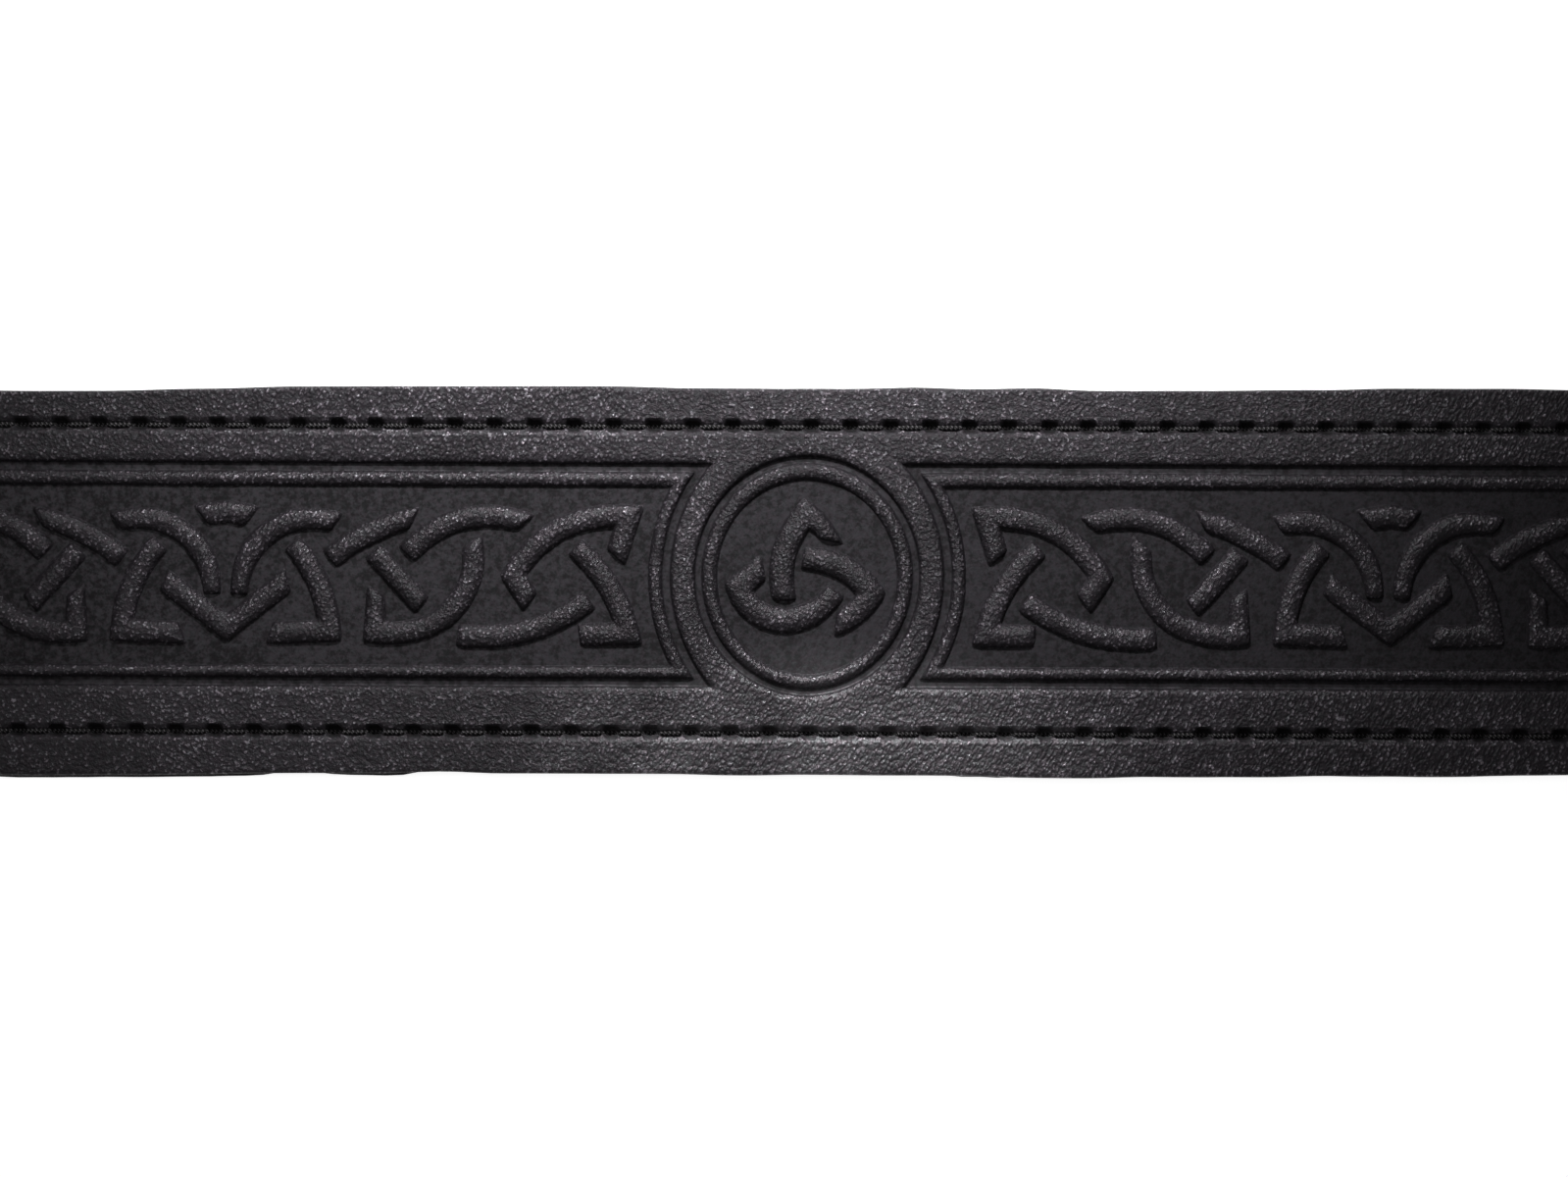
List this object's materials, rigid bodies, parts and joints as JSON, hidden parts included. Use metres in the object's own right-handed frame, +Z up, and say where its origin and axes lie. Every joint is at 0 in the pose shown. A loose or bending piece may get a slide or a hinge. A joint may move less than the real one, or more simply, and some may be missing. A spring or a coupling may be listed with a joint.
{
  "type": "kilt belt",
  "caption": "Wide black leather kilt belt, embossed with panels of interlaced knotwork between roundels, laid straight and flat, with a plain plate buckle.",
  "frame": {"origin": "on the surface that the belt lies on, under the middle of its whole length and of its width", "axes": "+X along the strap from the free tip to the buckle, +Y across the strap, +Z up out of the embossed face"},
  "size_m": [1.12, 0.066, 0.0113],
  "materials": {
    "face_leather": "black, embossed, fine grain with a low sheen",
    "backing_leather": "black, plain, matt",
    "buckle_metal": "plain polished plate, softly brushed"
  },
  "bodies": {
    "root": {"face_strap": "face_leather", "buckle_fold": "face_leather", "backing_strap": "backing_leather", "buckle_plate": "buckle_metal"}
  },
  "joints": []
}
